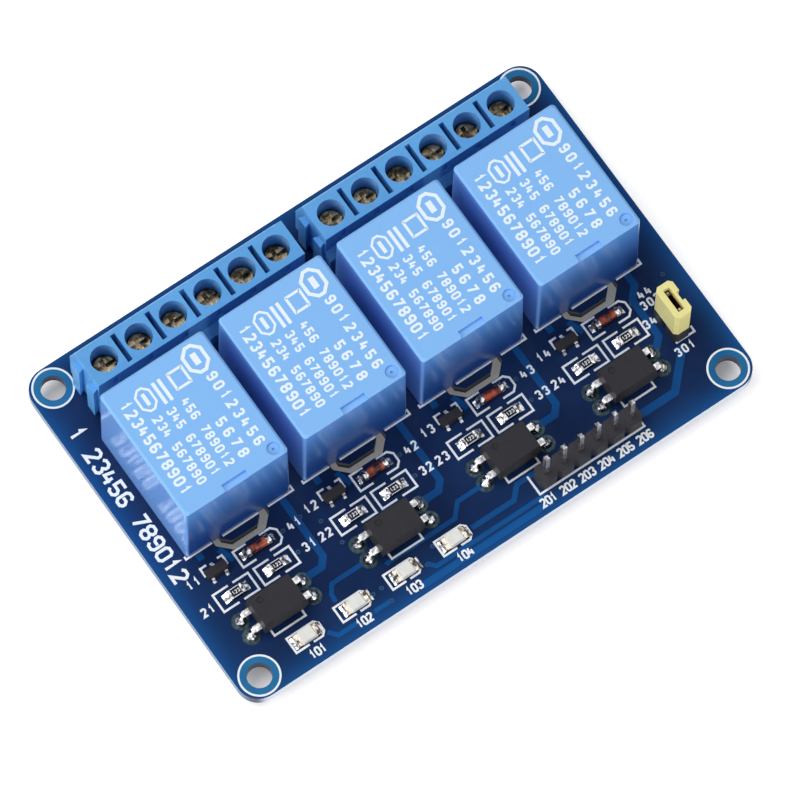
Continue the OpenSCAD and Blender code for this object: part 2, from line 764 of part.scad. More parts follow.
// Light-emitting diode: moulded window on a thin carrier
module led_bodies() {
    window = 2;
    color("white", 0.9) for (i = [1 : led_count]) at_led(i) {
        post([led[0] - 2 * led_cap, led[1]], [0, 0], 0, led[2]);
        translate([0, led[1] / 2, led[2]]) rotate([90, 0, 0]) linear_extrude(led[1])
            polygon([[-window / 2, 0], [window / 2, 0], [window / 2 - 0.15, 0.65],
                     [-window / 2 + 0.15, 0.65]]);
    }
}

module led_end_caps() {
    color("khaki") for (i = [1 : led_count], s = [-1, 1]) at_led(i)
        post([led_cap, led[1]], [s * (led[0] - led_cap) / 2, 0], 0, led[2]);
}

// ================= headers and jumper =================

function input_pin_x(i) = input_x + (i - (input_pins + 1) / 2) * header_pitch;

// One strip of moulded cells with bevelled corners, bored for its square pins
module header_strip(count) {
    half = header_pitch / 2;
    bevel = 0.5;
    difference() {
        linear_extrude(strip_h) for (i = [0 : count - 1]) translate([i * header_pitch, 0])
            polygon([[-half, -half + bevel], [-half + bevel, -half], [half - bevel, -half],
                     [half, -half + bevel], [half, half - bevel], [half - bevel, half],
                     [-half + bevel, half], [-half, half - bevel]]);
        for (i = [0 : count - 1]) post(header_lead, [i * header_pitch, 0], -1, strip_h + 1);
    }
}

module input_header_strip() {
    color("black") translate([input_pin_x(1), input_y, board_t]) header_strip(input_pins);
}

module input_header_pins() {
    color("gold") for (i = [1 : input_pins])
        bevelled_pin(header_pin_w, [input_pin_x(i), input_y], -lead_out, board_t + pin_tip);
}

module jumper_header_strip() {
    color("black") translate([jumper_x, jumper_y - header_pitch / 2, board_t])
        rotate([0, 0, 90]) header_strip(2);
}

jumper_tip = strip_h + cap_h - 0.5;

module jumper_header_pins() {
    color("gold") for (s = [-1, 1])
        bevelled_pin(header_pin_w, [jumper_x, jumper_y + s * header_pitch / 2], -lead_out,
                     board_t + jumper_tip);
}

cap_lift = 0.1;
clip_t = 0.2;
clip_gap = 0.08;
clip_w = header_pin_w + 2 * clip_gap + 2 * clip_t;
clip_len = header_pitch + clip_w;
clip_top = cap_h - 0.9;
cap_len = 2 * header_pitch - 0.18;

// Pull-off jumper cap: open below, with a slot in its top and a grip notch
module jumper_cap() {
    half_w = cap_w / 2;
    half_l = cap_len / 2;
    bevel = 0.45;
    grip = [0.4, 1.3];
    color("gold") translate([jumper_x, jumper_y, board_t + strip_h + cap_lift]) difference() {
        linear_extrude(cap_h) polygon([
            [-half_w, -half_l + bevel], [-half_w + bevel, -half_l], [half_w - bevel, -half_l],
            [half_w, -half_l + bevel], [half_w, half_l - bevel],
            [half_w - bevel, half_l], [-half_w + bevel, half_l], [-half_w, half_l - bevel]]);
        translate([half_w - grip[0], -grip[1] / 2, -1]) cube([1, grip[1], cap_h + 2]);
        post([clip_w, clip_len], [0, 0], -1, clip_top);
        post([0.9, clip_len - 0.4], [0, 0], clip_top - 1, cap_h + 1);
    }
}

// Sprung metal loop inside the cap that joins the two pins
module jumper_clip() {
    color("peru") translate([jumper_x, jumper_y, board_t + strip_h + cap_lift]) difference() {
        post([clip_w, clip_len], [0, 0], 0.6, clip_top);
        post([clip_w - 2 * clip_t, clip_len - 2 * clip_t], [0, 0], -1, clip_top + 1);
    }
}

// ================= solder =================

// Concave cone of solder round a lead on the board's underside
module solder_cone(lead) {
    pad_r = hole_r(lead) + 0.5;
    neck_r = norm(lead) / 2 + 0.06;
    height = min(1.3, lead_out - 0.3);
    difference() {
        mirror([0, 0, 1]) rotate_extrude() polygon([
            [0, 0], [pad_r, 0], [pad_r, 0.08],
            for (a = [15 : 25 : 90])
                [neck_r + (pad_r - neck_r) * (1 - sin(a)), 0.08 + (height - 0.08) * (1 - cos(a))],
            [neck_r, height], [0, height]]);
        post(lead, [0, 0], -height - 1, 1);
    }
}

// Wedge of solder from the end of a chip down to its pad, facing +X
module solder_fillet(width, height, reach) {
    translate([0, width / 2, 0]) rotate([90, 0, 0]) linear_extrude(width)
        polygon([[0, 0], [reach, 0], [reach, 0.06], [reach * 0.45, height * 0.35], [0, height]]);
}

module solder_pair(half, width, height, reach) {
    for (s = [0, 1]) mirror([s, 0, 0]) translate([half, 0, 0]) solder_fillet(width, height, reach);
}

// Round mound of solder over the foot of an optocoupler's lead
module solder_mound() {
    mound_r = 0.75;
    height = 0.8;
    translate([opto_foot_x, 0, 0]) rotate_extrude() polygon([
        [0, 0], for (a = [0 : 18 : 90]) [mound_r * cos(a), height * sin(a)]]);
}

module solder_joints() {
    color("silver") {
        for (lead = through_leads()) translate([lead[0], lead[1], 0]) solder_cone(lead[2]);
        for (i = [1 : relays], s = [-1, 1], t = [-1, 1]) at_opto(i) difference() {
            mirror([s < 0 ? 1 : 0, 0, 0]) translate([0, t * opto_lead_pitch / 2, 0]) solder_mound();
            opto_lead(s, t);
        }
        for (i = [1 : relays]) {
            at_resistors(i) solder_pair(chip[0] / 2, chip[1], chip[2] * 0.8, 0.8);
            at_diode(i) translate([0, 0, -diode_cap_d / 2])
                solder_pair(diode_len / 2, diode_cap_d * 0.8, diode_cap_d * 0.6, 0.7);
        }
        for (i = [1 : led_count]) at_led(i) solder_pair(led[0] / 2, led[1], led[2] * 0.9, 0.5);
    }
}

// ================= the model =================

circuit_board();
for (i = [1 : relays]) {
    relay_cover(i);
    relay_armature(i);
}
relay_bases();
relay_yokes();
relay_cores();
relay_bobbins();
relay_windings();
relay_coil_pins();
relay_contacts();
terminal_housing(-1);  // left_terminal_housing
terminal_housing(1);  // right_terminal_housing
terminal_cages();
for (k = [1 : poles]) {
    terminal_screw(k);
    terminal_clamp(k);
}
optocoupler_bodies();
optocoupler_leads();
transistor_bodies();
transistor_leads();
diode_bodies();
diode_end_caps();
resistor_bodies();
resistor_end_caps();
led_bodies();
led_end_caps();
input_header_strip();
input_header_pins();
jumper_header_strip();
jumper_header_pins();
jumper_cap();
jumper_clip();
solder_joints();
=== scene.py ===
# Relay board with four channels: a blue circuit board that carries screw terminals,
# sealed relays, surface-mounted driver parts, an input header and a pull-off jumper.

import math

import bmesh
import bpy
from mathutils import Matrix, Vector


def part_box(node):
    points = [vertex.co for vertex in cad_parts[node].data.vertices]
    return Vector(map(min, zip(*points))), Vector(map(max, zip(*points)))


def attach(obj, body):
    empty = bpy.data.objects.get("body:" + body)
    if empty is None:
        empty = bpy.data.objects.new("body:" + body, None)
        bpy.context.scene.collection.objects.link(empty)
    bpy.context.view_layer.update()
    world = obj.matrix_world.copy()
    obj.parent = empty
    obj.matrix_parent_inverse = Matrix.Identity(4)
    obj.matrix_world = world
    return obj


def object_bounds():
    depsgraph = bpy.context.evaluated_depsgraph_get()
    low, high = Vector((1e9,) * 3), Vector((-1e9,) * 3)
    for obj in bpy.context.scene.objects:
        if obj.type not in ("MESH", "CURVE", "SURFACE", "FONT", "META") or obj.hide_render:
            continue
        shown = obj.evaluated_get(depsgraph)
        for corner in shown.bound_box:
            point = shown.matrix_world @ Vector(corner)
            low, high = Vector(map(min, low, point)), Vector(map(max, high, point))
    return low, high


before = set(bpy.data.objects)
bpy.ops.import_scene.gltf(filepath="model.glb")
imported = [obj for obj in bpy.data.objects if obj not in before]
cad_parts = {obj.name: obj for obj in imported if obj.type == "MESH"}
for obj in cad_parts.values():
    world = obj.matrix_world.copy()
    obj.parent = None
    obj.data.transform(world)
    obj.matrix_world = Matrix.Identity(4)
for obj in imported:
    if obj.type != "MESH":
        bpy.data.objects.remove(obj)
cad_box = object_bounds()
mm = 0.001


# ---- Camera ----
# A long lens looks down steeply over the board's front left corner, turned a
# little about its own axis.

look_azimuth, look_elevation, look_roll = (math.radians(a) for a in (-35.97, 70.71, 1.383))
look_at = Vector((-0.686, -2.961, 1.6)) * mm
look_distance = 1062.2 * mm

back = Vector((math.sin(look_azimuth) * math.cos(look_elevation),
               -math.cos(look_azimuth) * math.cos(look_elevation),
               math.sin(look_elevation)))
level_right = Vector((math.cos(look_azimuth), math.sin(look_azimuth), 0))
level_up = back.cross(level_right)
right = math.cos(look_roll) * level_right + math.sin(look_roll) * level_up
up = back.cross(right)

lens = bpy.data.cameras.new("camera")
lens.lens = 388.3
lens.clip_start, lens.clip_end = 0.05, 20
camera = bpy.data.objects.new("camera", lens)
camera.matrix_world = Matrix.Translation(look_at + back * look_distance) @ Matrix(
    (right, up, back)).transposed().to_4x4()
bpy.context.scene.collection.objects.link(camera)
bpy.context.scene.camera = camera


# ---- Studio ----
# The board lies on a wide white table under one broad soft lamp, with two smaller
# ones low at its left and in front. The surroundings are white.

bpy.context.scene.view_settings.view_transform = "Standard"


def seen_directly(tree):
    """1 for rays that show the white surroundings themselves: the view, gloss and glass."""
    path = tree.nodes.new("ShaderNodeLightPath")
    total = path.outputs["Is Camera Ray"]
    for kind in ("Is Glossy Ray", "Is Transmission Ray"):
        either = tree.nodes.new("ShaderNodeMath")
        either.operation = "MAXIMUM"
        tree.links.new(total, either.inputs[0])
        tree.links.new(path.outputs[kind], either.inputs[1])
        total = either.outputs[0]
    return total


world = bpy.data.worlds.new("white surroundings")
bpy.context.scene.world = world
world.use_nodes = True
sky = world.node_tree
sky_light = sky.nodes["Background"]
sky_light.inputs["Color"].default_value = (0.93, 0.95, 1, 1)
sky_light.inputs["Strength"].default_value = 0.42
sky_white = sky.nodes.new("ShaderNodeBackground")
sky_white.inputs["Color"].default_value = (1, 1, 1, 1)
sky_mix = sky.nodes.new("ShaderNodeMixShader")
sky.links.new(seen_directly(sky), sky_mix.inputs["Fac"])
sky.links.new(sky_light.outputs[0], sky_mix.inputs[1])
sky.links.new(sky_white.outputs[0], sky_mix.inputs[2])
sky.links.new(sky_mix.outputs[0], sky.nodes["World Output"].inputs["Surface"])

table_mesh = bpy.data.meshes.new("table")
table_half = 2.0
table_gap = 0.01 * mm
table_mesh.from_pydata([(x * table_half, y * table_half, cad_box[0].z - table_gap)
                        for x, y in ((-1, -1), (1, -1), (1, 1), (-1, 1))], [], [(0, 1, 2, 3)])
table = bpy.data.objects.new("table", table_mesh)
bpy.context.scene.collection.objects.link(table)
table_paint = bpy.data.materials.new("white table")
table_paint.use_nodes = True
paint = table_paint.node_tree
paint.nodes["Principled BSDF"].inputs["Base Color"].default_value = (0.8, 0.79, 0.8, 1)
paint.nodes["Principled BSDF"].inputs["Roughness"].default_value = 0.9
paint.nodes["Principled BSDF"].inputs["Specular IOR Level"].default_value = 0
glow = paint.nodes.new("ShaderNodeEmission")
table_place = paint.nodes.new("ShaderNodeTexCoord")
table_axes = paint.nodes.new("ShaderNodeSeparateXYZ")
paint.links.new(table_place.outputs["Object"], table_axes.inputs[0])


def table_range(value, numbers):
    """Maps a value of the table's finish from one range to another."""
    band = paint.nodes.new("ShaderNodeMapRange")
    for socket, number in zip(list(band.inputs)[1:5], numbers):
        socket.default_value = number
    paint.links.new(value, band.inputs["Value"])
    return band.outputs[0]


# The table's glow is cut where the board covers it: a painted shadow under the board, so that the slots
# look dark.
open_glow, painted_shadow_glow = 0.55, 0.14
under_board_shadow = paint.nodes.new("ShaderNodeMath")
under_board_shadow.operation = "MULTIPLY"
for axis, half in ((0, cad_box[1].x), (1, cad_box[1].y)):
    distance = paint.nodes.new("ShaderNodeMath")
    distance.operation = "ABSOLUTE"
    paint.links.new(table_axes.outputs[axis], distance.inputs[0])
    inside = table_range(distance.outputs[0], (half - 2 * mm, half, 1, 0))
    paint.links.new(inside, under_board_shadow.inputs[axis])
glow_level = table_range(under_board_shadow.outputs[0], (0, 1, open_glow, painted_shadow_glow))
paint.links.new(glow_level, glow.inputs["Strength"])
glow_only = paint.nodes.new("ShaderNodeMixShader")
paint.links.new(seen_directly(paint), glow_only.inputs["Fac"])
paint.links.new(glow.outputs[0], glow_only.inputs[2])
table_sum = paint.nodes.new("ShaderNodeAddShader")
paint.links.new(paint.nodes["Principled BSDF"].outputs[0], table_sum.inputs[0])
paint.links.new(glow_only.outputs[0], table_sum.inputs[1])
paint.links.new(table_sum.outputs[0], paint.nodes["Material Output"].inputs["Surface"])
table_mesh.materials.append(table_paint)


def soft_lamp(name, place, aim, size, power):
    """Square area lamp turned towards a point."""
    lamp = bpy.data.lights.new(name, "AREA")
    lamp.size, lamp.energy = size, power
    holder = bpy.data.objects.new(name, lamp)
    holder.location = place
    holder.rotation_euler = (Vector(aim) - Vector(place)).to_track_quat("-Z", "Y").to_euler()
    bpy.context.scene.collection.objects.link(holder)


soft_lamp("overhead lamp", (-0.34, 0.36, 1.0), (0, 0, 0), 0.55, 4.4)
soft_lamp("left lamp", (-0.9, 0.05, 0.45), (0, 0, 0), 0.5, 3.5)
soft_lamp("front lamp", (-0.1, -0.9, 0.42), (0, 0, 0), 0.5, 3.5)


# ---- Circuit board ----
# Glass-cloth laminate, 1.6 mm thick, pressed from layers and milled to shape. Both
# faces carry a glossy blue solder mask; the milled edges and slots stay bare.

def finish_of(name, color, roughness, metallic=0.0, specular=0.5):
    """New material with its plain values set: (material, node tree, shader)."""
    made = bpy.data.materials.new(name)
    made.use_nodes = True
    shader = made.node_tree.nodes["Principled BSDF"]
    shader.inputs["Base Color"].default_value = (*color, 1)
    shader.inputs["Roughness"].default_value = roughness
    shader.inputs["Metallic"].default_value = metallic
    shader.inputs["Specular IOR Level"].default_value = specular
    return made, made.node_tree, shader


def place_in(tree, scale=(1, 1, 1)):
    """The point's place on the object, in metres, stretched by a scale."""
    where = tree.nodes.new("ShaderNodeTexCoord")
    mapping = tree.nodes.new("ShaderNodeMapping")
    mapping.inputs["Scale"].default_value = scale
    tree.links.new(where.outputs["Object"], mapping.inputs["Vector"])
    return mapping.outputs["Vector"]


def noise(tree, per_mm, detail=3.0, stretch=(1, 1, 1)):
    """Noise from 0 to 1 with about per_mm blotches to a millimetre."""
    tex = tree.nodes.new("ShaderNodeTexNoise")
    tex.inputs["Scale"].default_value = per_mm / mm
    tex.inputs["Detail"].default_value = detail
    tree.links.new(place_in(tree, stretch), tex.inputs["Vector"])
    return tex.outputs["Fac"]


def blend_colors(tree, factor, low, high):
    """Colour that runs from low to high as factor runs from 0 to 1."""
    mix = tree.nodes.new("ShaderNodeMix")
    mix.data_type = "RGBA"
    for socket, value in ((mix.inputs[0], factor), (mix.inputs[6], low), (mix.inputs[7], high)):
        if isinstance(value, tuple):
            socket.default_value = (*value, 1)
        elif isinstance(value, float):
            socket.default_value = value
        else:
            tree.links.new(value, socket)
    return mix.outputs[2]


def sharpen(tree, value, low, high, at_low=0.0, at_high=1.0):
    """Stretches the part of a value between low and high to the range at_low..at_high."""
    band = tree.nodes.new("ShaderNodeMapRange")
    for socket, number in zip(list(band.inputs)[1:5], (low, high, at_low, at_high)):
        socket.default_value = number
    tree.links.new(value, band.inputs["Value"])
    return band.outputs[0]


def arithmetic(tree, operation, first, second=None):
    """One step of arithmetic on sockets or plain numbers."""
    step = tree.nodes.new("ShaderNodeMath")
    step.operation = operation
    for socket, value in zip(step.inputs, (first, second)):
        if isinstance(value, float):
            socket.default_value = value
        elif value is not None:
            tree.links.new(value, socket)
    return step.outputs[0]


def along(tree, vector, axis):
    """Size of a vector along an axis, whichever way it points."""
    split = tree.nodes.new("ShaderNodeSeparateXYZ")
    tree.links.new(vector, split.inputs[0])
    return arithmetic(tree, "ABSOLUTE", split.outputs[axis])


def facing(tree, axis):
    """1 on faces that look along an axis, 0 on those that stand across it."""
    geometry = tree.nodes.new("ShaderNodeNewGeometry")
    return sharpen(tree, along(tree, geometry.outputs["Normal"], axis), 0.3, 0.7)


def relief(tree, shader, height, depth, strength=1.0):
    """Bump of a depth in millimetres from a height between 0 and 1."""
    bump = tree.nodes.new("ShaderNodeBump")
    bump.inputs["Strength"].default_value = strength
    bump.inputs["Distance"].default_value = depth * mm
    tree.links.new(height, bump.inputs["Height"])
    tree.links.new(bump.outputs[0], shader.inputs["Normal"])


def wave(tree, axis, period):
    """Sine bands across an axis, one to each period in millimetres."""
    tex = tree.nodes.new("ShaderNodeTexWave")
    tex.bands_direction = axis
    tex.inputs["Scale"].default_value = 2 * math.pi / (20 * period * mm)
    tree.links.new(place_in(tree), tex.inputs["Vector"])
    return tex.outputs["Fac"]


def average(tree, *values):
    total = values[0]
    for value in values[1:]:
        total = arithmetic(tree, "ADD", total, value)
    return arithmetic(tree, "MULTIPLY", total, 1 / len(values))


def dress(finish, *names):
    """Gives CAD nodes a finish in place of the plain one that they were packed with."""
    for name in names:
        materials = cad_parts[name].data.materials
        materials.clear()
        materials.append(finish)


board_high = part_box("circuit_board")[1]
board_top = board_high.z


def near_border(tree, reach):
    """1 at the board's milled border, falling to 0 a reach in millimetres inside it."""
    place = place_in(tree)
    gaps = [arithmetic(tree, "SUBTRACT", half, along(tree, place, axis))
            for axis, half in (("X", board_high.x), ("Y", board_high.y))]
    return sharpen(tree, arithmetic(tree, "MINIMUM", *gaps), reach * mm, 0)


def masked_board(name, deep, plain, border):
    """Blue mask with painted light towards the board's border; bare laminate at cuts, with painted
    shade on the slot walls and the side rims and painted light on the front rim.
    """
    made, tree, shader = finish_of(name, plain, 0.2, specular=0.04)
    mask = blend_colors(tree, sharpen(tree, noise(tree, 0.12), 0.35, 0.65), deep, plain)
    # Painted light: the mask grows lighter towards the board's border.
    painted_edge_light = arithmetic(tree, "POWER", near_border(tree, 6), 3.0)
    mask = blend_colors(tree, painted_edge_light, mask, border)
    cloth = average(tree, wave(tree, "Z", 0.2), noise(tree, 6))
    # Painted shade and light on the bare laminate: the slot walls dark, the side rims shaded, the front
    # rim lit.
    shaded_slot_wall = blend_colors(tree, cloth, (0.03, 0.04, 0.07), (0.13, 0.14, 0.18))
    shaded_side_rim = blend_colors(tree, cloth, (0.08, 0.17, 0.3), (0.24, 0.36, 0.5))
    lit_front_rim = blend_colors(tree, cloth, (0.6, 0.66, 0.78), (0.95, 0.97, 1.0))
    lit_and_shaded_rim = blend_colors(tree, facing(tree, "X"), lit_front_rim, shaded_side_rim)
    wall = blend_colors(tree, near_border(tree, 0.6), shaded_slot_wall, lit_and_shaded_rim)
    tree.links.new(blend_colors(tree, facing(tree, "Z"), wall, mask), shader.inputs["Base Color"])
    weave = average(tree, wave(tree, "X", 0.45), wave(tree, "Y", 0.45), noise(tree, 1.5))
    relief(tree, shader, weave, 0.004)
    return made


# The last colour is the painted light at the board's border.
dress(masked_board("blue solder mask", (0.006, 0.019, 0.07), (0.0095, 0.029, 0.1),
                   (0.010, 0.076, 0.25)), "circuit_board")


# ---- Copper tracks under the mask ----
# Etched copper, 35 micrometres thick, that lifts the mask a little and shows through
# it as a lighter blue. Small plated holes join the two faces.

track_lift = 0.035
relay_boxes = [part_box(f"relay_{i}_cover") for i in (1, 2, 3, 4)]
channels = [(low.x + high.x) / 2 / mm for low, high in relay_boxes]
relay_front = relay_boxes[0][0].y / mm


def middle(node, axis):
    """Middle of a node's box along an axis, in millimetres."""
    low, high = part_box(node)
    return (low[axis] + high[axis]) / 2 / mm


def mitred_edges(points, width):
    """Left and right borders of a line of a width, with mitred bends."""
    pts = [Vector(p) for p in points]
    left, right_side = [], []
    for i, p in enumerate(pts):
        runs = [(b - a).normalized() for a, b in zip(pts[max(i - 1, 0):i + 1], pts[max(i, 1):i + 2])]
        sides = [Vector((-r.y, r.x)) for r in runs]
        side = sum(sides, Vector((0, 0))).normalized()
        reach = width / 2 / max(side.dot(sides[0]), 0.4)
        left.append(p + side * reach)
        right_side.append(p - side * reach)
    return left, right_side


def raised_plate(bm, outline, bottom, top):
    """Flat plate with upright edges; its outline is in millimetres, its heights in metres."""
    floor = [bm.verts.new((p[0] * mm, p[1] * mm, bottom)) for p in outline]
    roof = [bm.verts.new((p[0] * mm, p[1] * mm, top)) for p in outline]
    bm.faces.new(roof)
    for i in range(len(outline)):
        j = (i + 1) % len(outline)
        bm.faces.new((floor[i], floor[j], roof[j], roof[i]))


def raised_line(bm, points, width, bottom, top):
    left, right_side = mitred_edges(points, width)
    for i in range(len(points) - 1):
        raised_plate(bm, [right_side[i], right_side[i + 1], left[i + 1], left[i]], bottom, top)


def circle_points(centre, radius, count=24):
    return [(centre[0] + radius * math.cos(2 * math.pi * i / count),
             centre[1] + radius * math.sin(2 * math.pi * i / count)) for i in range(count)]


def raised_ring(bm, centre, inner, outer, bottom, top, count=24):
    """Flat ring with upright edges."""
    rims = [[bm.verts.new((x * mm, y * mm, z)) for x, y in circle_points(centre, r, count)]
            for r, z in ((outer, bottom), (outer, top), (inner, top), (inner, bottom))]
    for a, b in zip(rims, rims[1:]):
        for i in range(count):
            j = (i + 1) % count
            bm.faces.new((a[i], a[j], b[j], b[i]))


def add_piece(name, bm, finish, body="board", smooth=False):
    """Turns built geometry into a piece that rides on a body."""
    mesh = bpy.data.meshes.new(name)
    bmesh.ops.recalc_face_normals(bm, faces=bm.faces)
    bm.to_mesh(mesh)
    bm.free()
    for face in mesh.polygons:
        face.use_smooth = smooth
    mesh.materials.append(finish)
    made = bpy.data.objects.new(name, mesh)
    bpy.context.scene.collection.objects.link(made)
    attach(made, body)
    return made


tracks = bmesh.new()
opto_y, led_y = middle("optocoupler_bodies", 1), middle("led_bodies", 1)
chip_y, diode_y = middle("resistor_bodies", 1), middle("diode_bodies", 1)
header_low, header_high = (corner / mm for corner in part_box("input_header_strip"))
jumper_x = middle("jumper_cap", 0)


def track(points, width):
    raised_line(tracks, points, width, board_top, board_top + track_lift * mm)


for number, x in enumerate(channels, 1):
    turn_y = opto_y + 1.3
    if number < 4:
        track([(x + 3.1, turn_y), (x + 5.2, turn_y), (x + 6.15, turn_y + 1.1),
               (x + 6.15, relay_front + 1)], 0.95)
    else:
        track([(x + 3.1, turn_y), (x + 4.3, turn_y + 1.2), (x + 4.3, relay_front - 3.4),
               (x + 5.7, relay_front - 1.9), (x + 5.7, relay_front + 1)], 0.95)
    track([(x - 6.3, relay_front + 0.6), (x - 6.3, relay_front - 1.2)], 0.9)
    track([(x - 3.9, relay_front - 1.2), (x - 3.1, relay_front - 3.4)], 0.8)
first_led = channels[0] - 1.25
track([(first_led + 2.3, led_y - 1), (first_led + 3.2, led_y - 2.1), (first_led + 6, led_y - 2.1)], 0.6)
track([(first_led + 8.5, led_y - 2.1), (first_led + 11, led_y - 2.1)], 0.6)
track([(-22, led_y + 1.6), (-21.9, led_y + 2.7), (-21.1, opto_y - 1.15), (-16.6, opto_y - 1.15)], 0.6)
track([(-14.2, led_y + 2), (-13.9, led_y + 2.15), (-3.9, led_y + 2.15), (-2.4, opto_y - 1.15),
       (1.2, opto_y - 1.15)], 0.6)
track([(-2.9, led_y), (3.4, led_y), (4.9, led_y + 1.5), (9, led_y + 1.5)], 0.7)
track([(-10.1, led_y - 0.6), (-9.2, led_y - 1.6), (header_low.x, led_y - 1.6)], 0.6)
track([(-12, led_y - 2.7), (header_low.x, led_y - 2.7)], 0.9)
track([(header_high.x, led_y + 0.3), (27.8, led_y + 0.3), (jumper_x - 0.65, -16.95)], 1.05)

# The last colour is the painted light on tracks near the board's border.
add_piece("tracks", tracks, masked_board("blue mask over copper", (0.006, 0.06, 0.21),
                                         (0.008, 0.082, 0.275), (0.010, 0.11, 0.35)))

hole_rings = bmesh.new()
hole_places = [(sx * 35, sy * 22.5) for sx in (-1, 1) for sy in (-1, 1)]
for place in hole_places:
    raised_ring(hole_rings, place, 1.62, 2.5, board_top, board_top + track_lift * mm, 48)
ring_blue = (0.024, 0.17, 0.36)
add_piece("hole_rings", hole_rings, masked_board("pale mask round holes", (0.014, 0.11, 0.27),
                                                 ring_blue, ring_blue))

vias = bmesh.new()
via_places = [(first_led + 8, led_y - 2.15), (first_led + 11.1, led_y - 2.15), (-19.4, -8.5),
              (-17, -14.1), (-17.6, -10.4), (-17.7, -21.8), (-16.4, -21.7), (-10.1, -22.4),
              (-8.2, -20.8), (25.5, -21.1), (35.5, -7.8)]
via_places += [(x + 3.95, y) for x in channels for y in (diode_y, chip_y)]
for place in via_places:
    raised_ring(vias, place, 0.12, 0.3, board_top, board_top + 0.03 * mm, 16)
via_finish, tree, shader = finish_of("masked via", (0.012, 0.05, 0.15), 0.35, specular=0.1)
tree.links.new(blend_colors(tree, noise(tree, 3), (0.006, 0.025, 0.08), (0.06, 0.13, 0.24)),
               shader.inputs["Base Color"])
add_piece("vias", vias, via_finish)


# ---- White legend ----
# Screen-printed white ink on the mask: a ring at each mounting hole, an outline for
# each part, and plain numbers for parts, pins and channels.

ink_finish, tree, shader = finish_of("white legend ink", (0.88, 0.9, 0.9), 0.6, specular=0.2)
tree.links.new(blend_colors(tree, noise(tree, 5, 4), (0.78, 0.82, 0.87), (0.95, 0.96, 0.97)),
               shader.inputs["Base Color"])
relief(tree, shader, noise(tree, 12), 0.01)

legend = bmesh.new()
ink_low, ink_high = board_top, board_top + 0.055 * mm


def ink(points, width=0.27):
    raised_line(legend, points, width, ink_low, ink_high)


digit_pens = {
    "0": "03 01 10 30 41 45 36 16 05 03", "1": "14 26 20", "2": "05 16 36 45 44 00 40",
    "3": "05 16 36 45 44 33 42 41 30 10 01", "4": "16 02 42|34 30",
    "5": "46 06 03 33 42 41 30 10 01", "6": "45 36 16 05 01 10 30 41 42 33 13",
    "7": "06 46 10", "8": "23 13 04 05 16 36 45 44 33 23|33 42 41 30 10 01 02 13",
    "9": "01 10 30 41 45 36 16 05 04 13 33"}


def numbers(target, text, place, height, length=0.0, angle=0.0, weight=0.2, wide=0.8,
            bottom=ink_low, top=ink_high):
    """Plain digits of straight pen strokes on a grid of 4 by 6 steps, centred on a place in
    millimetres and read along an angle; they spread over a length if one is given."""
    stroke = weight * height
    step = (height - stroke) / 6
    digit_width = 4 * step * wide + stroke
    gaps = len(text) - 1
    length = length or digit_width + gaps * (digit_width + 1.1 * stroke)
    pitch = (length - digit_width) / max(gaps, 1)
    turn = Matrix.Rotation(math.radians(angle), 2)
    for i, digit in enumerate(text):
        start = (stroke - length) / 2 + i * pitch
        for layer, pen in enumerate(digit_pens.get(digit, "").split("|")):
            corners = [turn @ Vector((start + int(x) * step * wide, (int(y) - 3) * step))
                       for x, y in pen.split()]
            raised_line(target, [corner + Vector(place) for corner in corners], stroke,
                        bottom, top + layer * 0.003 * mm)


def bracket(x_far, x_near, y_low, y_high, chamfer=0.0):
    """Three sides of a box, open towards x_near, with cut corners if asked."""
    cut = math.copysign(chamfer, x_near - x_far)
    ink([(x_near, y_low), (x_far + cut, y_low)] + ([(x_far, y_low + chamfer)] if chamfer else [])
        + ([(x_far, y_high - chamfer)] if chamfer else []) + [(x_far + cut, y_high), (x_near, y_high)])


for place in hole_places:
    raised_ring(legend, place, 2.45, 2.7, ink_low, ink_high, 48)

for number, x in enumerate(channels, 1):
    front = relay_front - 0.05
    ink([(x - 7.9, front + 0.4), (x - 7.9, front), (x - 4.1, front)])
    ink([(x - 2.5, front), (x + 2.8, front)])
    ink([(x + 4.2, front), (x + 7.95, front), (x + 7.95, front + 0.75)])
    for chip_x, gap in ((x - 5.25, 0.35), (x + 0.8, 0.4)):
        bracket(chip_x - 2.6, chip_x - gap, chip_y - 1.28, chip_y + 1.28)
        bracket(chip_x + 2.6, chip_x + gap, chip_y - 1.28, chip_y + 1.28)
    bracket(x - 2.7, x - 0.8, diode_y - 1.2, diode_y + 1.2)
    bracket(x + 3.4, x + 1.2, diode_y - 1.2, diode_y + 1.2, 0.6)
    ink([(x - 7.2, diode_y + 0.4), (x - 7.2, diode_y + 1.65), (x - 6.3, diode_y + 1.65)])
    ink([(x - 4.7, diode_y + 1.65), (x - 4.0, diode_y + 1.65), (x - 4.0, diode_y + 0.3)])
    ink([(x - 4.5, opto_y - 1.8), (x - 4.5, opto_y - 2.7), (x + 0.1, opto_y - 2.7),
         (x + 0.1, opto_y - 1.8)])
    numbers(legend, f"1{number}", (x - 8.9, diode_y + 0.6), 1.25)
    numbers(legend, f"2{number}", (x - 9.4, chip_y), 1.25)
    last = number == 4
    numbers(legend, f"3{number}", (x + (4.4 if last else 5.6), chip_y), 1.25)
    numbers(legend, f"4{number}", (x + (6.1 if last else 5.6), diode_y + (0.3 if last else 0)), 1.25)
for number, x in enumerate((-27.35, -20.43, -13.04, -5.46), 1):
    bracket(x - 2.3, x - 0.35, led_y - 1.1, led_y + 1.1)
    ink([(x + 0.25, led_y - 1.1), (x + 1.6, led_y - 1.1), (x + 2.1, led_y - 0.6),
         (x + 2.1, led_y + 0.6), (x + 1.6, led_y + 1.1), (x - 0.35, led_y + 1.1)])
    numbers(legend, f"10{number}", (x, led_y - 2.35), 1.25, 2.3)
header_line = header_low.y - 0.12
ink([(6.5, led_y + 1.6), (6.5, header_line), (22.15, header_line), (22.15, header_line + 0.6)])
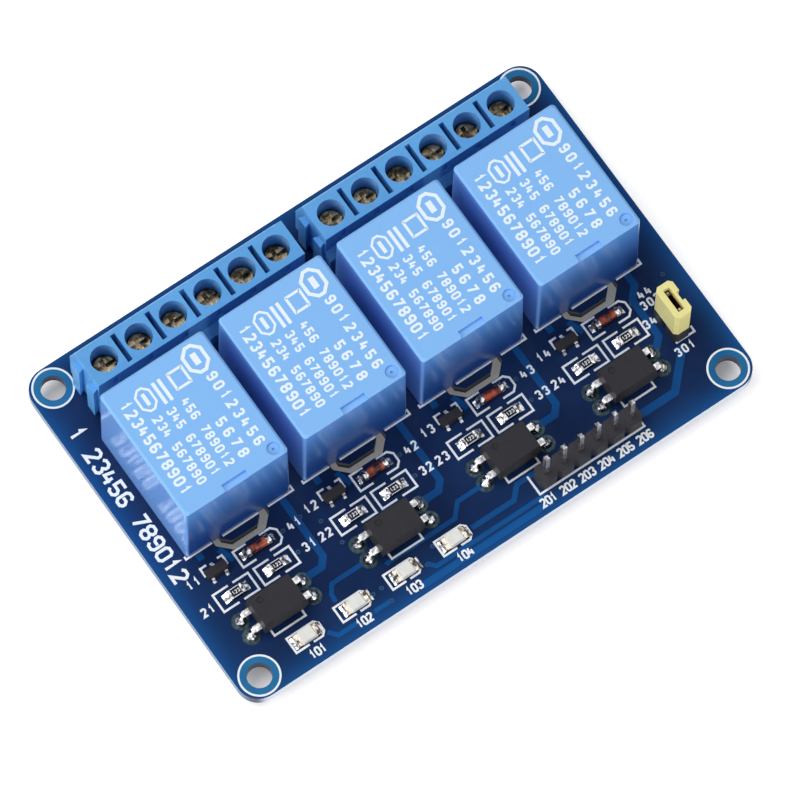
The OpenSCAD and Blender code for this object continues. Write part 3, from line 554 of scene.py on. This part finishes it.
for number, x in enumerate((6.95, 9.9, 12.75, 15.65, 18.5, 21.4), 1):
    numbers(legend, f"20{number}", (x, led_y - 2.35), 1.25, 2.3)
ink([(31.6, -16.15), (34.4, -16.15), (34.4, -15.3)])
numbers(legend, "301", (jumper_x - 0.5, -17.3), 1.2)
numbers(legend, "302", (jumper_x - 0.5, -9.9), 1.2)
numbers(legend, "1 23456 789012", (-35.85, 4.65), 2.3, 23.9, -90, weight=0.17, wide=0.9)
terminal_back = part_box("left_terminal_housing")[1].y / mm
for k in range(1, 5):
    numbers(legend, f"5{k}", (channels[k - 1], terminal_back + 0.95), 1.0)
add_piece("legend", legend, ink_finish)


# ---- Relay covers ----
# Moulded from blue plastic, open below, with a draft, a gate notch and a
# vent dimple. Glued down over the base with resin.

# Painted shade and light: the front and back walls run from dark at the foot to light at the top, and
# the side walls are painted lighter than them.
roof_blue, lit_flank_blue = (0.25, 0.52, 0.93), (0.20, 0.42, 0.90)
shaded_foot_blue, lit_top_blue = (0.015, 0.06, 0.26), (0.13, 0.36, 0.86)
cover_finish, tree, shader = finish_of("blue cover plastic", roof_blue, 0.1)
relay_top = relay_boxes[0][1].z
painted_light_rise = sharpen(tree, along(tree, place_in(tree), "Z"), board_top, relay_top)
ends = blend_colors(tree, arithmetic(tree, "POWER", painted_light_rise, 2.0), shaded_foot_blue, lit_top_blue)
lit_and_shaded_walls = blend_colors(tree, facing(tree, "X"), ends, lit_flank_blue)
upward = facing(tree, "Z")
mottle = blend_colors(tree, noise(tree, 1.5), tuple(0.94 * c for c in roof_blue), roof_blue)
tree.links.new(blend_colors(tree, upward, lit_and_shaded_walls, mottle), shader.inputs["Base Color"])
for socket, wall_value, roof_value in (("Roughness", 0.12, 0.5), ("Specular IOR Level", 0.5, 0.06)):
    tree.links.new(sharpen(tree, upward, 0, 1, wall_value, roof_value), shader.inputs[socket])
relief(tree, shader, noise(tree, 3), 0.02)
dress(cover_finish, *[f"relay_{i}_cover" for i in (1, 2, 3, 4)])


# ---- Relay print ----
# Tampo-printed white ink on each cover's top: four small marks and six rows of plain
# numbers that run from the terminals towards the front.

print_finish, tree, shader = finish_of("white relay print", (0.86, 0.93, 1.0), 0.5, specular=0.1)
tree.links.new(blend_colors(tree, noise(tree, 4, 4), (0.74, 0.87, 0.97), (0.9, 0.96, 1.0)),
               shader.inputs["Base Color"])


def outline_mark(target, x, y, width, length, stroke, cut):
    """Box outline with cut corners, drawn from the middle of one side round to it again."""
    corners = [(0, length / 2), (cut - width / 2, length / 2), (-width / 2, length / 2 - cut),
               (-width / 2, cut - length / 2), (cut - width / 2, -length / 2)]
    half = [(x + a, y + b) for a, b in corners]
    other_half = [(x - a, y - b) for a, b in corners]
    raised_line(target, half + other_half + half[:1], stroke, print_low, print_high)


print_low, print_high = relay_top - 0.02 * mm, relay_top + 0.03 * mm
print_rows = ((-5.6, 1.6, 9.45, 13.9, "12345678901"), (-3.35, 1.3, 7.6, 10.2, "234 567890"),
              (-1.35, 1.3, 7.6, 10.2, "345 678901"), (0.75, 1.3, 7.6, 10.2, "456 789012"),
              (2.85, 1.5, 5.35, 5.7, "5678"), (5.25, 1.5, 8.2, 11, "90123456"))
for number, (low, high) in enumerate(relay_boxes, 1):
    x, y = channels[number - 1], low.y / mm
    marks = bmesh.new()
    for across, height, middle_y, length, text in print_rows:
        numbers(marks, text, (x + across, y + middle_y), height, length, -90,
                bottom=print_low, top=print_high)
    outline_mark(marks, x - 3.1, y + 15.25, 2, 3.1, 0.3, 0.7)
    raised_line(marks, [(x - 3.1, y + 14.4), (x - 3.1, y + 16.1)], 0.5, print_low, print_high)
    for shift in (-1.3, -0.45):
        raised_line(marks, [(x + shift, y + 13.4), (x + shift, y + 16.6)], 0.45,
                    print_low, print_high)
    outline_mark(marks, x + 1.8, y + 15.3, 2, 2.3, 0.35, 0.02)
    outline_mark(marks, x + 4.8, y + 16.2, 2.6, 3.6, 0.45, 0.9)
    raised_line(marks, [(x + 4.8, y + 15.4), (x + 4.8, y + 17)], 0.8, print_low, print_high)
    add_piece(f"relay_{number}_print", marks, print_finish)


# ---- Relay insides ----
# A plug-in base moulded in dark blue, a bent soft-iron yoke, a riveted core, a coil of
# enamelled wire on a white former, and plated contact springs.

def plain_metal(name, color, roughness, grain, dark=0.8, blotches=2.0, depth=0.01):
    """Metal that varies in blotches down to a dark share of its colour, with fine relief; a share near
    1 is random tone, a low share also paints dark reflections and shade into the colour.
    """
    made, tree, shader = finish_of(name, color, roughness, 1.0)
    tone_and_reflection_patches = sharpen(tree, noise(tree, blotches), 0.4, 0.6)
    tree.links.new(blend_colors(tree, tone_and_reflection_patches, tuple(c * dark for c in color), color),
                   shader.inputs["Base Color"])
    relief(tree, shader, noise(tree, grain), depth)
    return made


def plain_plastic(name, color, roughness, grain, depth=0.01, specular=0.2):
    made, tree, shader = finish_of(name, color, roughness, specular=specular)
    tree.links.new(blend_colors(tree, noise(tree, 1.2), tuple(c * 0.82 for c in color), color),
                   shader.inputs["Base Color"])
    relief(tree, shader, noise(tree, grain), depth)
    return made


dress(plain_plastic("dark blue base", (0.02, 0.04, 0.2), 0.5, 8), "relay_bases")
soft_iron = plain_metal("plated soft iron", (0.62, 0.62, 0.62), 0.35, 6)
dress(soft_iron, "relay_yokes", "relay_cores", *[f"relay_{i}_armature" for i in (1, 2, 3, 4)])
dress(plain_plastic("white coil former", (0.85, 0.85, 0.8), 0.5, 8), "relay_bobbins")
wire_finish, tree, shader = finish_of("enamelled copper wire", (0.6, 0.24, 0.08), 0.3, 0.9)
turns = wave(tree, "Z", 0.16)
tree.links.new(blend_colors(tree, turns, (0.3, 0.1, 0.03), (0.72, 0.32, 0.12)),
               shader.inputs["Base Color"])
relief(tree, shader, turns, 0.05)
dress(wire_finish, "relay_windings")
tinned = plain_metal("tin plating", (0.8, 0.79, 0.8), 0.3, 4, dark=0.45, depth=0.03)
dress(tinned, "relay_coil_pins")
dress(plain_metal("contact alloy", (0.78, 0.52, 0.24), 0.3, 8), "relay_contacts")


# ---- Screw terminals ----
# Two six-way blocks moulded in bright blue and joined by dovetails, each pole with a
# square clamp cage, a wire plate and a steel screw in a round well.

dress(plain_plastic("bright blue terminal plastic", (0.14, 0.45, 0.88), 0.3, 6),
      "left_terminal_housing", "right_terminal_housing")
dress(tinned, "terminal_cages")
# The low dark share paints dark reflections and shade into the screw heads.
dress(plain_metal("yellow-plated screw steel", (0.36, 0.3, 0.2), 0.25, 3, dark=0.15,
                  blotches=1.0, depth=0.03), *[f"terminal_{k}_screw" for k in range(1, 13)])
dress(plain_metal("wire plate alloy", (0.75, 0.6, 0.3), 0.35, 6),
      *[f"terminal_{k}_clamp" for k in range(1, 13)])


# ---- Optocouplers and transistors ----
# Moulded in dark epoxy round tinned lead frames, with a dimple that marks the first
# pin. Soldered by machine to the board's upper face.

dress(plain_plastic("dark moulded epoxy", (0.034, 0.033, 0.038), 0.5, 14, 0.02, specular=0.1),
      "optocoupler_bodies", "transistor_bodies")
dress(tinned, "optocoupler_leads", "transistor_leads")

pads = bmesh.new()
opto_half_row = 4.55
lead_low, lead_high = (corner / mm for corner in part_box("optocoupler_leads"))
pad_row = (lead_high.y - lead_low.y - 0.85) / 2
for x in channels:
    for side in (-1, 1):
        for end in (-1, 1):
            centre = (x - 2.35 + side * opto_half_row, opto_y + end * pad_row)
            raised_ring(pads, centre, 0.3, 1.15, board_top, board_top + 0.03 * mm, 32)
# Painted shade: the pads round the solder domes are coloured dark.
add_piece("optocoupler_pads", pads, plain_metal("copper pad darkened as painted shade", (0.05, 0.08, 0.09), 0.45,
                                                6, dark=0.5))


# ---- Diodes ----
# Glass cylinders with the chip inside, sealed between two tinned end caps.

glass_finish, tree, shader = finish_of("orange diode glass", (0.75, 0.12, 0.03), 0.15,
                                       specular=0.4)
tree.links.new(blend_colors(tree, sharpen(tree, noise(tree, 0.9), 0.4, 0.6), (0.05, 0.012, 0.012),
                            (0.55, 0.085, 0.03)), shader.inputs["Base Color"])
dress(glass_finish, "diode_bodies")
# The low dark share paints dark reflections and shade into the end caps.
solder_gray = plain_metal("solder-washed tin", (0.82, 0.8, 0.8), 0.3, 2.5, dark=0.08,
                          blotches=2.5, depth=0.08)
dress(solder_gray, "diode_end_caps")


# ---- Chip resistors and light-emitting diodes ----
# Resistors are a black glazed film on ceramic; the light-emitting diodes are cast in
# milky resin on a thin carrier. Both have plated ends.

dress(plain_plastic("black resistor glaze", (0.02, 0.02, 0.022), 0.35, 10, specular=0.1),
      "resistor_bodies")
dress(solder_gray, "resistor_end_caps")
dress(plain_plastic("milky lens resin", (0.86, 0.86, 0.8), 0.3, 3, 0.03), "led_bodies")
# The low dark share paints shade and dark reflections into the end caps.
dress(plain_metal("gold flash over nickel", (0.85, 0.74, 0.62), 0.3, 3, dark=0.07, blotches=1.6,
                  depth=0.05), "led_end_caps")

chip_marks = bmesh.new()
chip_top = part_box("resistor_bodies")[1].z
for x in channels:
    for shift in (-5.25, 0.8):
        numbers(chip_marks, "123", (x + shift, chip_y), 0.5, 1.05, weight=0.22,
                bottom=chip_top - 0.01 * mm, top=chip_top + 0.01 * mm)
        for side in (-1, 1):
            raised_line(chip_marks, [(x + shift - 0.6, chip_y + side * 0.56),
                                     (x + shift + 0.6, chip_y + side * 0.56)], 0.1,
                        chip_top - 0.01 * mm, chip_top + 0.01 * mm)
add_piece("resistor_marks", chip_marks, ink_finish)


# ---- Pin headers ----
# Square plated pins pushed through strips of moulded black cells.

dress(plain_plastic("black header nylon", (0.034, 0.033, 0.04), 0.45, 8, 0.02),
      "input_header_strip", "jumper_header_strip")
dress(plain_metal("tarnished pin plating", (0.62, 0.6, 0.6), 0.3, 4, dark=0.4, depth=0.02),
      "input_header_pins", "jumper_header_pins")


# ---- Jumper ----
# Yellow moulded cap with a sprung bronze clip inside, pushed over the two pins.

dress(plain_plastic("yellow jumper nylon", (0.93, 0.84, 0.34), 0.45, 8), "jumper_cap")
dress(plain_metal("bronze clip", (0.5, 0.28, 0.16), 0.35, 8), "jumper_clip")


# ---- Solder ----
# Bright tin alloy, drawn up the leads by hand below and by machine above.

# The low dark share paints dark reflections and shade into the solder.
dress(plain_metal("bright solder", (0.84, 0.84, 0.86), 0.22, 1.6, dark=0.1, blotches=2.0,
                  depth=0.1), "solder_joints")
